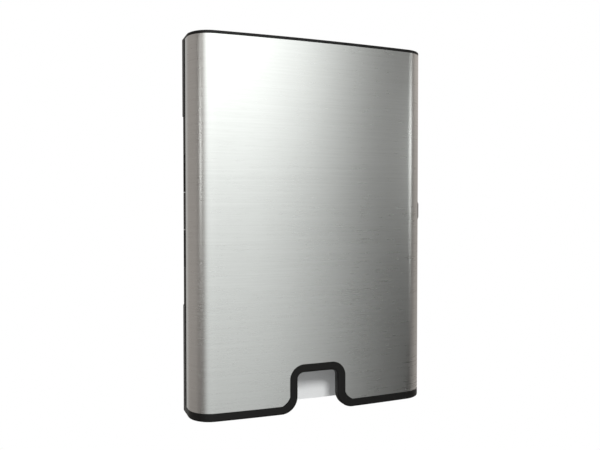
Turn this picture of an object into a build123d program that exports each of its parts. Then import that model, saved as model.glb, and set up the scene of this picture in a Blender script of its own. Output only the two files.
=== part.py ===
from build123d import *

import os
from math import pi, sin, sqrt

# A slim wall dispenser for folded paper hand towels. A shallow housing is screwed to the wall and holds
# the stack of towels between two guides, on a tray with a long slot that the lowest towel hangs out of.
# A door clad in brushed stainless steel closes over it. It swings on a long hinge at the left and locks at
# the right with a quarter-turn hook. A notch at the foot of the door bares the towel's edge to the hand.
# +X is to the right as seen from the front, +Y goes into the wall, +Z is up. The origin is on the wall
# plane, in the middle of the four fixing holes. All sizes are in millimetres.

# Towels that it holds
towel_width = 212.0
fold_depth = 82.0
stack_height = 280.0
stack_round = 3.0
stack_rear_gap = 0.5
stack_front_gap = 9.9
stack_side_gap = 1.5
soft_gap = 0.3
paper_thickness = 0.6
towel_edge_rise = 1.0
hanging_width = 205.0
wave_height = 0.7
wave_length = 82.0

# Door shell. In plan it has a gently bowed front and round corners that lead into flat sides
height = 444.0
door_depth = 58.5
door_side_gap = 14.0
front_rise = 5.6
corner_radius = 28.0

# Steel cladding of the door
steel_gauge = 0.8
steel_setback = 18.0
steel_fit = 0.1

# Moulded frame of the door
frame_wall = 2.2
rim_depth = 12.0
shadow_groove = 1.5
lip_thickness = 2.0
left_lip = 6.5
right_lip = 9.0
joint_gap = 0.2
rib_thickness = 1.8
rib_height = 2.2
level_rib_places = (-120.0, -50.0, 90.0, 160.0)
upright_rib_places = (30.0, 84.0)

# Top cap and bottom trim of the door
cap_thickness = 3.8
cap_round = 1.2
tongue_thickness = 1.6
tongue_height = 6.0
trim_width = 10.0
trim_depth = 9.0
trim_round = 2.0

# Notch for the hand, measured along the edge of the steel
notch_width = 72.0
notch_height = 58.1
notch_head_radius = 18.0
notch_foot_radius = 10.0

# Screwed tabs that hold the cap and the trim to the frame
cap_tab_places = (106.0,)
trim_tab_places = (58.0, 106.0)
tab_inset = 7.0
tab_radius = 4.2
tab_thickness = 2.4
boss_radius = 3.2
boss_foot = 3.0

# Wall housing
side_bay = 31.0
housing_end_gap = 8.0
housing_reach = 18.5
housing_wall = 2.5
housing_corner = 9.0
floor_depth = 30.0
back_rib_places = (-80.0, -30.0, 30.0, 80.0)
back_rib_thickness = 2.0
back_rib_height = 4.0
back_rib_top_gap = 14.0
gusset_places = (-120.0, 0.0, 120.0)
gusset_thickness = 2.0
gusset_reach = 8.0
wall_hole_radius = 3.25
wall_hole_inset_x = 11.0
wall_hole_inset_z = 24.0
wall_pad_radius = 7.0
wall_pad_height = 2.0

# Tray under the stack
tray_rise = 62.0
tray_plate = 3.0
tray_front_margin = 1.5
tray_corner = 16.0
tray_rear_gap = 0.4
tray_side_gap = 0.3
tray_lip_thickness = 1.2
tray_lip_height = 6.0
tray_lip_width = 188.0
slot_from_wall = 52.0
slot_length = 211.0
slot_width = 17.0
slot_corner = 7.0
finger_bay_length = 92.0
finger_bay_width = 28.0
finger_bay_corner = 12.0
collar_wall = 2.2
collar_height = 7.0
tray_rib_places = (30.0, 75.0, 117.0)
tray_rib_thickness = 1.8
tray_rib_height = 5.0
ledge_width = 11.0
ledge_height = 12.0
ledge_slope = 10.0
ledge_front_gap = 2.0
tray_screw_inset = 5.5
tray_screw_places = (46.0, 18.0)

# Stack guides
guide_wall = 2.0
guide_top_gap = 22.0
guide_lip = 11.0
guide_lip_gap = 0.5
guide_foot = 9.0
guide_flare = 14.0
guide_window_height = 80.0
guide_window_width = 44.0
guide_window_corner = 8.0
guide_window_count = 3
guide_screw_margin = 30.0
guide_screw_count = 2

# Hinge on the left
hinge_length = 223.0
hinge_centre = 18.5
knuckle_count = 5
knuckle_gap = 0.4
barrel_radius = 5.6
barrel_proud = 0.2
pin_radius = 2.0
pin_clearance = 0.05
pin_inset = 1.0
pin_bevel = 0.5
pocket_depth = 14.0
pocket_gap = 0.5
web_thickness = 3.0
leaf_thickness = 2.0
leaf_width = 26.0
leaf_corner = 5.0
hinge_pad_thickness = 5.5
hinge_pad_width = 16.0
hinge_screw_count = 3
hinge_screw_margin = 22.0
hinge_screw_inset = 9.0

# Quarter-turn lock on the right
lock_height = 18.8
lock_setback = 25.5
escutcheon_length = 26.0
escutcheon_width = 11.0
escutcheon_proud = 4.2
escutcheon_round = 2.2
escutcheon_fit = 0.15
barrel_outer_radius = 5.0
barrel_length = 18.0
barrel_fit = 0.1
lock_pad_radius = 12.0
lock_pad_inset = 5.5
nut_flats = 15.0
nut_thickness = 3.0
plug_radius = 3.4
plug_clearance = 0.08
plug_recess = 0.5
plug_overrun = 0.4
key_slot_length = 4.8
key_slot_width = 1.2
key_slot_depth = 6.0
tail_square = 4.0
tail_fit = 0.05
hook_thickness = 2.0
hook_hub_radius = 6.6
hook_arm_width = 6.5
hook_band = 4.2
hook_sweep = 80.0
hook_arm_angle = 112.0
hook_tip_radius = 1.9

# Keeper that the hook turns behind
keeper_pin_radius = 2.5
keeper_pin_bevel = 0.5
keeper_pin_distance = 18.0
keeper_pin_length = 6.5
tenon_radius = 1.8
keeper_grip = 1.2
keeper_plate_thickness = 2.0
keeper_plate_depth = 21.0
keeper_plate_height = 38.0
keeper_plate_corner = 4.0
keeper_front_margin = 7.0
keeper_screw_span = 26.0
keeper_screw_setback = 26.5

# Screws
shank_radius = 1.5
head_radius = 2.9
head_height = 1.9
shank_fit = 0.05
recess_radius = 1.3
recess_depth = 1.1
long_shank = 8.0
short_shank = 4.3
lock_shank = 6.0

# Allowances of the drawing: how far a cutter runs past a face, and how close is touching
overrun = 1.0
touching = 0.01

# Values that follow from the sizes above
housing_width = towel_width + 2 * side_bay
housing_height = height - 2 * housing_end_gap
width = housing_width + 2 * door_side_gap
half_width = width / 2
top_z = height / 2
bottom_z = -height / 2
liner_outer = steel_gauge + steel_fit
liner_inner = liner_outer + frame_wall
liner_middle = liner_outer + frame_wall / 2
stack_rear = -(housing_wall + back_rib_height + stack_rear_gap)
stack_front = stack_rear - fold_depth
front_y = stack_front - stack_front_gap - liner_inner
depth = -front_y
door_rear = front_y + door_depth
bow_radius = (half_width**2 + front_rise**2) / (2 * front_rise)
bow_centre_y = front_y + bow_radius
corner_x = half_width - corner_radius
corner_y = bow_centre_y - sqrt((bow_radius - corner_radius) ** 2 - corner_x**2)
steel_edge_y = door_rear - steel_setback
rim_front_y = door_rear - rim_depth
steel_top = top_z - cap_thickness
steel_bottom = bottom_z + trim_width
rib_inset = liner_inner + rib_height
tongue_inset = liner_outer + tongue_thickness
frame_rise = tongue_height + joint_gap
frame_top = steel_top - frame_rise
rim_top = steel_top - joint_gap / 2
rim_bottom = steel_bottom + joint_gap / 2
cap_tab_top = frame_top
trim_tab_bottom = steel_bottom + frame_rise
notch_half = notch_width / 2
notch_top = bottom_z + notch_height
housing_half = housing_width / 2
housing_top = housing_height / 2
housing_inner = housing_half - housing_wall
housing_front = door_rear - housing_reach
housing_depth = -housing_front
back_rib_top = housing_top - back_rib_top_gap
mouth_half = housing_inner - housing_corner
back_y = -housing_wall
wall_hole_x = housing_half - wall_hole_inset_x
wall_hole_z = housing_top - wall_hole_inset_z
tray_top = bottom_z + tray_rise
towel_edge = bottom_z + towel_edge_rise
stack_bottom = tray_top + soft_gap
guide_inner = towel_width / 2 + stack_side_gap
guide_outer = guide_inner + guide_wall
guide_foot_y = back_y - guide_wall
guide_front = stack_front - guide_lip_gap - guide_wall
guide_top = housing_top - guide_top_gap
guide_length = guide_top - tray_top
guide_window_gap = (guide_length - guide_window_count * guide_window_height) / (guide_window_count + 1)
guide_screw_pitch = (guide_length - 2 * guide_screw_margin) / (guide_screw_count - 1)
slot_y = -slot_from_wall
tray_front = stack_front - tray_front_margin
tray_bottom = tray_top - tray_plate
hinge_x = -half_width - barrel_proud + barrel_radius
hinge_y = door_rear - barrel_radius
hinge_bottom = hinge_centre - hinge_length / 2
hinge_top = hinge_centre + hinge_length / 2
leaf_outer_x = -housing_half - leaf_thickness
leaf_front = door_rear - leaf_thickness
lock_y = door_rear - lock_setback
seat_x = half_width - liner_outer
barrel_end_x = seat_x - barrel_length
hook_outer_x = barrel_end_x - plug_overrun
hook_inner_x = hook_outer_x - hook_thickness
hook_inner_radius = keeper_pin_distance + keeper_pin_radius + keeper_grip
keeper_y = lock_y + keeper_pin_distance
keeper_face_x = housing_inner - keeper_plate_thickness


def block(low, high):
    """A box between two opposite corners."""
    size = [b - a for a, b in zip(low, high)]
    centre = [(a + b) / 2 for a, b in zip(low, high)]
    return Pos(*centre) * Box(*size)


def rod(start, end, radius):
    """A round bar between two points."""
    line = Vector(*end) - Vector(*start)
    return extrude(Plane(origin=start, z_dir=line) * Circle(radius), line.length)


def upright(face, low_z, high_z):
    """A face drawn in plan, as a solid between two heights."""
    return extrude(Pos(0, 0, low_z) * face, high_z - low_z, dir=(0, 0, 1))


def through_front(face):
    """A face drawn in front view, as a solid through the whole depth."""
    return extrude(Plane.XZ * face, depth + trim_depth, dir=(0, -1, 0))


def side_plane(x):
    """The plane at a place across the width, with its own x upwards and its normal to the right."""
    return Plane(origin=(x, 0, 0), x_dir=(0, 0, 1), z_dir=(1, 0, 0))


def through_side(face, x_low, x_high):
    """A face drawn in side view, with its own x upwards, as a solid between two places across the width."""
    return extrude(side_plane(x_low) * face, x_high - x_low, dir=(1, 0, 0))


def side_spot(y, z):
    """The place of a point in the side view's own axes."""
    return Pos(z, -y)


def bow_y(x, inset):
    """How far forward the bowed front is at a place across the width, drawn in by inset."""
    return bow_centre_y - sqrt((bow_radius - inset) ** 2 - x**2)


def door_plan(inset, rear_y):
    """The door's plan, drawn in by inset and closed by a straight line at rear_y."""
    side = half_width - inset
    small = corner_radius - inset
    share = (bow_radius - inset) / (bow_radius - corner_radius)
    tangent_x = corner_x * share
    tangent_y = bow_centre_y + (corner_y - bow_centre_y) * share
    middle = Vector(side - corner_x, 0) + Vector(tangent_x - corner_x, tangent_y - corner_y)
    middle = Vector(corner_x, corner_y) + middle.normalized() * small
    outline = [
        Line((side, rear_y), (side, corner_y)),
        ThreePointArc((side, corner_y), (middle.X, middle.Y), (tangent_x, tangent_y)),
        ThreePointArc((tangent_x, tangent_y), (0, bow_y(0, inset)), (-tangent_x, tangent_y)),
        ThreePointArc((-tangent_x, tangent_y), (-middle.X, middle.Y), (-side, corner_y)),
        Line((-side, corner_y), (-side, rear_y)),
        Line((-side, rear_y), (side, rear_y)),
    ]
    return make_face(outline)


def plan_band(outer, inner, rear_y, low_z, high_z):
    """A wall that follows the door's plan, from one inset to a deeper one, open at the back."""
    wall = door_plan(outer, rear_y) - door_plan(inner, rear_y + corner_radius)
    return upright(wall, low_z, high_z)


def panel_face(drop, ceiling):
    """The front panel with its notch, in front view, its lower edge moved outwards by drop."""
    foot = notch_foot_radius + drop
    head = notch_head_radius - drop
    half = notch_half - drop
    floor = steel_bottom - drop
    roof = notch_top - drop
    slant = sqrt(0.5)
    outline = [Line((half - head, roof), (head - half, roof)), Line((-width, ceiling), (width, ceiling))]
    for side in (-1, 1):
        foot_middle = (side * (half + foot - foot * slant), floor + foot - foot * slant)
        head_middle = (side * (half - head + head * slant), roof - head + head * slant)
        outline += [
            Line((side * width, ceiling), (side * width, floor)),
            Line((side * width, floor), (side * (half + foot), floor)),
            ThreePointArc((side * (half + foot), floor), foot_middle, (side * half, floor + foot)),
            Line((side * half, floor + foot), (side * half, roof - head)),
            ThreePointArc((side * half, roof - head), head_middle, (side * (half - head), roof)),
        ]
    return make_face(outline)


def screw(at, towards, length):
    """A screw with a six-sided recess. Its head's underside is at a point and its shank runs one way."""
    plane = Plane(origin=at, z_dir=towards)
    shank = extrude(plane * Circle(shank_radius), length)
    crown = plane.offset(-head_height)
    head = extrude(crown * Circle(head_radius), head_height)
    recess = extrude(crown * RegularPolygon(recess_radius, 6), recess_depth)
    return shank + head - recess


def screws(seats, length):
    """All the screws of one set, as separate solids."""
    return Compound(children=[screw(at, towards, length) for at, towards in seats])


def drill(piece, seats, length):
    """A piece with the holes for one set of screws."""
    for at, towards in seats:
        plane = Plane(origin=at, z_dir=towards)
        piece -= extrude(plane * Circle(shank_radius + shank_fit), length + shank_fit)
    return piece


def knuckle_spans(first):
    """The heights that one side's knuckles fill: every other one, from the first or the second."""
    pitch = hinge_length / knuckle_count
    lows = [hinge_bottom + place * pitch + knuckle_gap / 2 for place in range(first, knuckle_count, 2)]
    return [(low, low + pitch - knuckle_gap) for low in lows]


# Seats of the screws, each with the way that it drives
hinge_screw_step = (hinge_length - 2 * hinge_screw_margin) / (hinge_screw_count - 1)
hinge_screw_y = leaf_front + leaf_width - hinge_screw_inset
hinge_seats = [
    ((leaf_outer_x, hinge_screw_y, hinge_bottom + hinge_screw_margin + step * hinge_screw_step), (1, 0, 0))
    for step in range(hinge_screw_count)
]
guide_foot_x = guide_outer + guide_foot / 2
guide_screw_bottom = tray_top + guide_screw_margin
guide_seats = [
    ((side * guide_foot_x, guide_foot_y, guide_screw_bottom + step * guide_screw_pitch), (0, 1, 0))
    for side in (-1, 1)
    for step in range(guide_screw_count)
]
tray_seats = [
    ((side * (housing_inner - tray_screw_inset), -place, tray_top), (0, 0, -1))
    for side in (-1, 1)
    for place in tray_screw_places
]
keeper_seats = [
    ((keeper_face_x, lock_y + keeper_screw_setback, lock_height + side * keeper_screw_span / 2), (1, 0, 0))
    for side in (-1, 1)
]
cap_seats = [
    ((side * x, bow_y(x, tab_inset), cap_tab_top - tab_thickness), (0, 0, 1))
    for side in (-1, 1)
    for x in cap_tab_places
]
trim_seats = [
    ((side * x, bow_y(x, tab_inset), trim_tab_bottom + tab_thickness), (0, 0, -1))
    for side in (-1, 1)
    for x in trim_tab_places
]
lock_seats = [((hook_inner_x, lock_y, lock_height), (1, 0, 0))]


def make_steel_front():
    """The brushed steel sheet, bent round both sides, with the notch and the lock's opening."""
    sheet = plan_band(0, steel_gauge, steel_edge_y, bottom_z, steel_top)
    sheet &= through_front(panel_face(0, top_z))
    opening = SlotOverall(escutcheon_length + 2 * escutcheon_fit, escutcheon_width + 2 * escutcheon_fit)
    cutter = through_side(side_spot(lock_y, lock_height) * opening, corner_x, half_width + overrun)
    return sheet - cutter


def make_frame_side():
    """The right rim of the frame: a flush strip at the rear edge, with a sunken groove before the steel."""
    rear_strip = Polyline(
        (half_width - liner_inner, steel_edge_y),
        (half_width - shadow_groove, steel_edge_y),
        (half_width - shadow_groove, rim_front_y),
        (half_width, rim_front_y),
        (half_width, door_rear),
        (half_width - liner_inner, door_rear),
        close=True,
    )
    return upright(make_face(rear_strip), rim_bottom, rim_top)


def make_frame_tab(x, low_z, high_z):
    """A rounded tab on the inside of the liner that a screw goes through."""
    y = bow_y(x, tab_inset)
    arm = block((x - tab_radius, front_y, low_z), (x + tab_radius, y, high_z))
    tab = arm + rod((x, y, low_z), (x, y, high_z), tab_radius)
    return tab & upright(door_plan(liner_middle, steel_edge_y), low_z, high_z)


def make_frame_knuckle(z_low, z_high):
    """One hinge barrel of the door, with the web that joins it to the rim."""
    foot = (hinge_x, hinge_y, z_low)
    head = (hinge_x, hinge_y, z_high)
    outer = -half_width + shadow_groove
    web = block((outer, steel_edge_y - 2 * web_thickness, z_low), (outer + web_thickness, hinge_y, z_high))
    return rod(foot, head, barrel_radius) + web - rod(foot, head, pin_radius + pin_clearance)


def make_door_frame():
    """The moulded frame behind the steel: liner, rims, ribs, screw tabs, lock seat and hinge knuckles."""
    liner = plan_band(liner_outer, liner_inner, steel_edge_y, bottom_z, frame_top)
    outline = through_front(panel_face(-frame_rise, top_z))
    liner &= outline
    right = make_frame_side()
    left = mirror(right, about=Plane.YZ)
    lip_y = door_rear - lip_thickness
    right += block((half_width - right_lip, lip_y, rim_bottom), (half_width - overrun, door_rear, rim_top))
    left += block((overrun - half_width, lip_y, rim_bottom), (left_lip - half_width, door_rear, rim_top))
    left -= block(
        (-half_width - barrel_radius, door_rear - pocket_depth, hinge_bottom - pocket_gap),
        (-housing_half, door_rear + barrel_radius, hinge_top + pocket_gap),
    )
    frame = liner + right + left
    for place in level_rib_places:
        frame += plan_band(liner_middle, rib_inset, steel_edge_y, place, place + rib_thickness)
    ribbed = upright(door_plan(liner_middle, steel_edge_y), bottom_z, frame_top) & outline
    ribbed -= upright(door_plan(rib_inset, door_rear), bottom_z, frame_top)
    for x in upright_rib_places:
        for side in (-1, 1):
            low_x = side * x - rib_thickness / 2
            rib = block((low_x, front_y, bottom_z), (low_x + rib_thickness, 0, top_z))
            frame += rib & ribbed
    for side in (-1, 1):
        for x in cap_tab_places:
            frame += make_frame_tab(side * x, cap_tab_top - tab_thickness, cap_tab_top)
        for x in trim_tab_places:
            frame += make_frame_tab(side * x, trim_tab_bottom, trim_tab_bottom + tab_thickness)
    lock_seat = (half_width, lock_y, lock_height)
    pad = rod((half_width - lock_pad_inset, lock_y, lock_height), lock_seat, lock_pad_radius)
    frame += pad & upright(door_plan(liner_outer, steel_edge_y), bottom_z, top_z)
    frame -= rod((corner_x, lock_y, lock_height), lock_seat, barrel_outer_radius + barrel_fit)
    for z_low, z_high in knuckle_spans(1):
        frame += make_frame_knuckle(z_low, z_high)
    frame = drill(frame, cap_seats, long_shank)
    return drill(frame, trim_seats, long_shank)


def make_top_cap():
    """The plate that closes the door's top, with a skirt behind the steel and two screw bosses."""
    plate = upright(door_plan(0, door_rear), steel_top, top_z)
    rim = plate.edges().group_by(Axis.Z)[-1]
    rounded = [edge for edge in rim if edge.center().Y < door_rear - touching]
    cap = fillet(rounded, cap_round)
    cap += plan_band(liner_outer, tongue_inset, steel_edge_y, steel_top - tongue_height, steel_top)
    for x in cap_tab_places:
        for side in (-1, 1):
            y = bow_y(x, tab_inset)
            cap += rod((side * x, y, cap_tab_top), (side * x, y, steel_top), boss_radius)
    return drill(cap, cap_seats, long_shank)


def make_bottom_trim():
    """The rounded bead along the steel's lower edge and round the notch, with a tongue and screw bosses."""
    ceiling = notch_top + tongue_height
    bead = plan_band(0, trim_depth, door_rear, bottom_z, ceiling)
    bead &= through_front(panel_face(trim_width, ceiling) - panel_face(0, ceiling))
    skin = door_plan(0, door_rear).wire()
    lower = panel_face(trim_width, ceiling).wire()
    outer_edges = [edge for edge in bead.edges() if lies_on(edge, skin, lower)]
    tongue = plan_band(liner_outer, tongue_inset, steel_edge_y, bottom_z, ceiling)
    tongue &= through_front(panel_face(0, top_z) - panel_face(-tongue_height, top_z))
    trim = fillet(outer_edges, trim_round) + tongue
    for x in trim_tab_places:
        for side in (-1, 1):
            y = bow_y(x, tab_inset)
            trim += rod((side * x, y, bottom_z + boss_foot), (side * x, y, trim_tab_bottom), boss_radius)
    return drill(trim, trim_seats, long_shank)


def lies_on(edge, plan_wire, front_wire):
    """Whether an edge's middle is on a wire drawn in plan and on one drawn in front view."""
    middle = edge @ 0.5
    in_plan = plan_wire.distance_to(Vector(middle.X, middle.Y, 0))
    in_front = front_wire.distance_to(Vector(middle.X, middle.Z, 0))
    return in_plan < touching and in_front < touching


def make_gusset(z):
    """A small web in the corner between the housing's back and its right wall."""
    outline = Polyline(
        (housing_inner, back_y),
        (housing_inner - gusset_reach, back_y),
        (housing_inner, back_y - gusset_reach),
        close=True,
    )
    return upright(make_face(outline), z - gusset_thickness / 2, z + gusset_thickness / 2)


def make_ledge():
    """The sloped ledge on the housing's right wall that the tray rests on."""
    outline = Polyline(
        (housing_inner, tray_bottom),
        (housing_inner - ledge_width, tray_bottom),
        (housing_inner - ledge_width, tray_bottom - ledge_height + ledge_slope),
        (housing_inner - ledge_width + ledge_slope, tray_bottom - ledge_height),
        (housing_inner, tray_bottom - ledge_height),
        close=True,
    )
    ledge_front = housing_front + ledge_front_gap
    return extrude(Plane.XZ.offset(-back_y) * make_face(outline), back_y - ledge_front, dir=(0, -1, 0))


def make_wall_housing():
    """The shallow box on the wall, with ribs, gussets, ledges for the tray and pads round the wall holes."""
    outline = RectangleRounded(housing_width, housing_height, housing_corner)
    inner_height = housing_height - 2 * housing_wall
    hollow = RectangleRounded(2 * housing_inner, inner_height, housing_corner - housing_wall)
    housing = extrude(Plane.XZ * outline, housing_depth, dir=(0, -1, 0))
    housing -= extrude(Plane.XZ.offset(housing_wall) * hollow, housing_depth, dir=(0, -1, 0))
    mouth_low = (-mouth_half, housing_front - overrun, -housing_top - overrun)
    housing -= block(mouth_low, (mouth_half, -floor_depth, tray_bottom))
    for x in back_rib_places:
        low_x = x - back_rib_thickness / 2
        foot = (low_x, back_y - back_rib_height, tray_top + overrun)
        housing += block(foot, (low_x + back_rib_thickness, back_y, back_rib_top))
    for z in gusset_places:
        housing += make_gusset(z)
        housing += mirror(make_gusset(z), about=Plane.YZ)
    housing += make_ledge()
    housing += mirror(make_ledge(), about=Plane.YZ)
    pad_y = hinge_screw_y - hinge_pad_width / 2
    housing += block(
        (-housing_inner, pad_y, hinge_bottom),
        (-housing_inner + hinge_pad_thickness, pad_y + hinge_pad_width, hinge_top),
    )
    for x in (-wall_hole_x, wall_hole_x):
        for z in (-wall_hole_z, wall_hole_z):
            pad_face = back_y - wall_pad_height
            housing += rod((x, back_y, z), (x, pad_face, z), wall_pad_radius)
            housing -= rod((x, overrun, z), (x, pad_face - overrun, z), wall_hole_radius)
    housing = drill(housing, hinge_seats, long_shank)
    housing = drill(housing, guide_seats, short_shank)
    housing = drill(housing, tray_seats, long_shank)
    return drill(housing, keeper_seats, short_shank)


def slot_outline(grow):
    """The towel slot in plan, with a wider bay in the middle for the fingers, drawn out by grow."""
    slot = RectangleRounded(slot_length + 2 * grow, slot_width + 2 * grow, slot_corner + grow)
    bay_length = finger_bay_length + 2 * grow
    bay = RectangleRounded(bay_length, finger_bay_width + 2 * grow, finger_bay_corner + grow)
    return Pos(0, slot_y) * (slot + bay)


def make_towel_tray():
    """The tray under the stack: a plate with a slot in a rounded collar, ribs below and a low front lip."""
    half = housing_inner - tray_side_gap
    rear = -housing_wall - tray_rear_gap
    plate = block((-half, tray_front, tray_bottom), (half, rear, tray_top))
    plate = fillet(plate.edges().filter_by(Axis.Z).group_by(Axis.Y)[0], tray_corner)
    slot = slot_outline(0)
    tray = plate
    for x in tray_rib_places:
        for side in (-1, 1):
            thick = tray_rib_thickness / 2
            tray += block(
                (side * x - thick, tray_front + tray_corner, tray_bottom - tray_rib_height),
                (side * x + thick, rear - tray_rib_height, tray_bottom),
            )
    tray -= upright(slot, tray_bottom - collar_height, tray_top + overrun)
    tray += upright(slot_outline(collar_wall) - slot, tray_bottom - collar_height, tray_bottom)
    tray += block(
        (-tray_lip_width / 2, tray_front, tray_top),
        (tray_lip_width / 2, tray_front + tray_lip_thickness, tray_top + tray_lip_height),
    )
    return drill(tray, tray_seats, long_shank)


def make_right_guide():
    """The right stack guide: a wall with a front lip and a screwed foot, and windows that lighten it."""
    lip_edge = guide_outer - guide_lip
    plan = Polyline(
        (lip_edge, guide_front),
        (guide_outer, guide_front),
        (guide_outer, guide_foot_y),
        (guide_outer + guide_foot, guide_foot_y),
        (guide_outer + guide_foot, back_y),
        (guide_inner, back_y),
        (guide_inner, guide_front + guide_wall),
        (lip_edge, guide_front + guide_wall),
        close=True,
    )
    guide = upright(make_face(plan), tray_top, guide_top)
    slope = Polyline(
        (lip_edge - overrun, guide_top - guide_flare),
        (guide_inner, guide_top),
        (lip_edge - overrun, guide_top),
        close=True,
    )
    lip_plane = Plane.XZ.offset(-guide_front - guide_wall)
    guide -= extrude(lip_plane * make_face(slope), guide_wall, dir=(0, -1, 0))
    window = RectangleRounded(guide_window_height, guide_window_width, guide_window_corner)
    window_y = (guide_front + back_y) / 2
    for place in range(guide_window_count):
        window_z = tray_top + (place + 1) * guide_window_gap + (place + 0.5) * guide_window_height
        hole = side_spot(window_y, window_z) * window
        guide -= through_side(hole, guide_inner - overrun, guide_outer + overrun)
    seats = [seat for seat in guide_seats if seat[0][0] > 0]
    return drill(guide, seats, short_shank)


def make_towel_stack():
    """The stack of folded towels, rounded along its folds."""
    foot = (-towel_width / 2, stack_front, stack_bottom)
    stack = block(foot, (towel_width / 2, stack_rear, stack_bottom + stack_height))
    return fillet(stack.edges().filter_by(Axis.X), stack_round)


def make_hanging_towel():
    """The edge of the lowest towel, which hangs down through the slot in a shallow wave."""
    half = hanging_width / 2
    count = round(4 * hanging_width / wave_length)
    places = [-half + hanging_width * step / count for step in range(count + 1)]
    front = [(x, slot_y + wave_height * sin(2 * pi * x / wave_length)) for x in places]
    back = [(x, y + paper_thickness) for x, y in front]
    outline = [Spline(*front), Line(front[-1], back[-1]), Spline(*back), Line(back[0], front[0])]
    return upright(make_face(outline), towel_edge, tray_top)


def make_hinge_leaf():
    """The housing's half of the hinge: a plate screwed to the left wall, with three rolled knuckles."""
    far_corner = (-housing_half, leaf_front + leaf_width, hinge_top)
    leaf = block((leaf_outer_x, leaf_front, hinge_bottom), far_corner)
    leaf = fillet(leaf.edges().filter_by(Axis.X).group_by(Axis.Y)[-1], leaf_corner)
    for z_low, z_high in knuckle_spans(0):
        leaf += rod((hinge_x, hinge_y, z_low), (hinge_x, hinge_y, z_high), barrel_radius)
        leaf += block((hinge_x, leaf_front, z_low), (leaf_outer_x, door_rear, z_high))
    bore_foot = (hinge_x, hinge_y, hinge_bottom - overrun)
    leaf -= rod(bore_foot, (hinge_x, hinge_y, hinge_top + overrun), pin_radius + pin_clearance)
    return drill(leaf, hinge_seats, long_shank)


def make_hinge_pin():
    """The pin through all the knuckles, with chamfered ends."""
    foot = (hinge_x, hinge_y, hinge_bottom + pin_inset)
    pin = rod(foot, (hinge_x, hinge_y, hinge_top - pin_inset), pin_radius)
    return chamfer(pin.edges().filter_by(GeomType.CIRCLE), pin_bevel)


def make_lock_escutcheon():
    """The lock's body: a rounded pill on the door's side, with a round barrel that reaches inside."""
    outline = side_spot(lock_y, lock_height) * SlotOverall(escutcheon_length, escutcheon_width)
    pill = through_side(outline, seat_x, half_width + escutcheon_proud)
    rim = pill.edges().group_by(Axis.X)[-1]
    body = fillet(rim, escutcheon_round)
    body += rod((barrel_end_x, lock_y, lock_height), (seat_x, lock_y, lock_height), barrel_outer_radius)
    start = (barrel_end_x - overrun, lock_y, lock_height)
    return body - rod(start, (width, lock_y, lock_height), plug_radius + plug_clearance)


def make_lock_nut():
    """The hexagonal nut that clamps the lock's barrel to the frame."""
    spot = side_spot(lock_y, lock_height)
    face = RegularPolygon(nut_flats / 2, 6, major_radius=False) - Circle(barrel_outer_radius + shank_fit)
    outer = half_width - lock_pad_inset
    return through_side(spot * face, outer - nut_thickness, outer)


def make_lock_plug():
    """The round plug that the key turns, with its key slot and the square tail that carries the hook."""
    outer = half_width + escutcheon_proud - plug_recess
    plug = rod((hook_outer_x, lock_y, lock_height), (outer, lock_y, lock_height), plug_radius)
    spot = side_spot(lock_y, lock_height)
    plug -= through_side(spot * Rectangle(key_slot_length, key_slot_width), outer - key_slot_depth, outer)
    plug += through_side(spot * Rectangle(tail_square, tail_square), hook_inner_x, hook_outer_x)
    return drill(plug, lock_seats, lock_shank)


def make_lock_hook():
    """The hook on the plug's tail. Its curved band turns behind the keeper's pin and holds the door shut."""
    arm_angle = hook_arm_angle - 90
    outer_radius = hook_inner_radius + hook_band
    inner = CenterArc((0, 0), hook_inner_radius, arm_angle - hook_sweep, hook_sweep)
    outer = CenterArc((0, 0), outer_radius, arm_angle - hook_sweep, hook_sweep)
    band = make_face([inner, Line(inner @ 1, outer @ 1), outer, Line(outer @ 0, inner @ 0)])
    arm = Rot(0, 0, arm_angle) * Rectangle(outer_radius, hook_arm_width, align=(Align.MIN, Align.CENTER))
    face = Circle(hook_hub_radius) + (arm & Circle(outer_radius)) + band
    tip = face.vertices().sort_by_distance(outer @ 0)[0:2]
    face = fillet(tip, hook_tip_radius)
    face -= Rectangle(tail_square + 2 * tail_fit, tail_square + 2 * tail_fit)
    return through_side(side_spot(lock_y, lock_height) * face, hook_inner_x, hook_outer_x)


def make_keeper_plate():
    """The plate on the housing's right wall that carries the keeper's pin."""
    middle_y = keeper_y - keeper_front_margin + keeper_plate_depth / 2
    face = RectangleRounded(keeper_plate_height, keeper_plate_depth, keeper_plate_corner)
    plate = through_side(side_spot(middle_y, lock_height) * face, keeper_face_x, housing_inner)
    bore_start = (keeper_face_x - overrun, keeper_y, lock_height)
    plate -= rod(bore_start, (housing_half, keeper_y, lock_height), tenon_radius + shank_fit)
    return drill(plate, keeper_seats, short_shank)


def make_keeper_pin():
    """The steel pin that the hook catches, with a tenon riveted into its plate."""
    tip = (keeper_face_x - keeper_pin_length, keeper_y, lock_height)
    shoulder = (keeper_face_x, keeper_y, lock_height)
    pin = rod(tip, shoulder, keeper_pin_radius)
    pin = chamfer(pin.edges().group_by(Axis.X)[0], keeper_pin_bevel)
    return pin + rod(shoulder, (housing_inner, keeper_y, lock_height), tenon_radius)


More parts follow.
